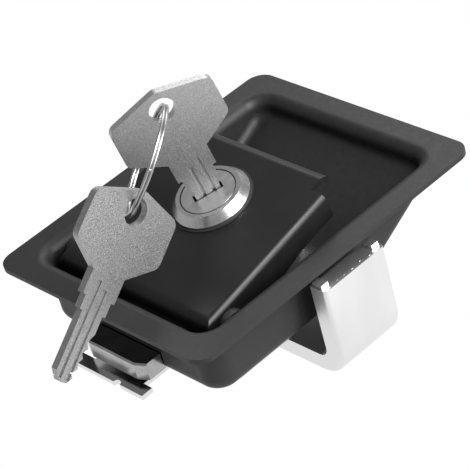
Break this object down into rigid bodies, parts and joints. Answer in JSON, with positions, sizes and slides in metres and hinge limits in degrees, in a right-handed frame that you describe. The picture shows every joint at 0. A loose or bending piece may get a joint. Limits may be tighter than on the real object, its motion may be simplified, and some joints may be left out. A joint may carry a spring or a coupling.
{
  "type": "paddle latch",
  "caption": "Flush pan latch with a lifting paddle handle, keyed cylinder lock, spring slam bolt, under-panel clamp yoke and keys on a split ring.",
  "frame": {"origin": "centre of the panel cut-out, on the back face of the flange", "axes": "+Z out of the panel, +Y towards the finger end of the handle, bolt points to -Y"},
  "size_m": [0.0936, 0.1342, 0.0965],
  "materials": {
    "black_steel": "fine texture powder coat",
    "satin_black": "satin black paint",
    "zinc": "bright zinc plate",
    "chrome": "brushed nickel plate",
    "key_nickel": "tumbled nickel plate",
    "steel": "plain",
    "rubber": "matt",
    "nylon": "natural nylon",
    "spring": "drawn wire"
  },
  "bodies": {
    "housing": {"pan": "black_steel", "hinge_pin": "steel", "hinge_spacers": "nylon", "spring_tubes": "zinc", "bolt_guide": "zinc", "support_bracket": "zinc", "bracket_rivets": "steel", "lock_catch": "zinc", "catch_rivets": "steel", "clamp_yoke": "zinc", "yoke_stud": "zinc", "yoke_washers": "zinc", "yoke_nuts": "zinc"},
    "handle": {"paddle": "satin_black", "bolt_driver": "zinc", "lock_body": "chrome", "lock_gasket": "rubber", "lock_nut": "zinc"},
    "bolt": {"slam_bolt": "zinc", "bolt_springs": "spring"},
    "plug": {"lock_plug": "chrome", "lock_cam": "zinc", "cam_screw": "steel"},
    "key": {"lock_key": "key_nickel"},
    "ring": {"key_ring": "steel"},
    "spare": {"spare_key": "key_nickel"}
  },
  "joints": [
    {"name": "paddle_hinge", "type": "hinge", "parent": "housing", "child": "handle", "pos_m": [0, -0.0338, -0.0045], "axis": [1, 0, 0], "range_deg": [-12.3, 37.7]},
    {"name": "bolt_slide", "type": "slide", "parent": "housing", "child": "bolt", "axis": [0, 1, 0], "range_m": [-0.0027, 0.0082]},
    {"name": "key_turn", "type": "hinge", "parent": "handle", "child": "plug", "pos_m": [0, -0.00496, 0.00179], "axis": [0, -0.213, 0.977], "range_deg": [0, 90]},
    {"name": "key_slide", "type": "slide", "parent": "plug", "child": "key", "axis": [0, -0.213, 0.977], "range_m": [0, 0.018]},
    {"name": "ring_swing", "type": "hinge", "parent": "key", "child": "ring", "pos_m": [0, -0.01421, 0.04423], "axis": [-0.9018, 0.4222, 0.092], "range_deg": [-10, 10]},
    {"name": "spare_swing", "type": "hinge", "parent": "ring", "child": "spare", "pos_m": [0.01167, -0.0401, 0.03062], "axis": [0.9994, -0.013, 0.032], "range_deg": [-10, 10]}
  ],
  "couplings": [
    {"joint": "bolt_slide", "follows": "paddle_hinge", "m_per_rad": 0.012349}
  ]
}
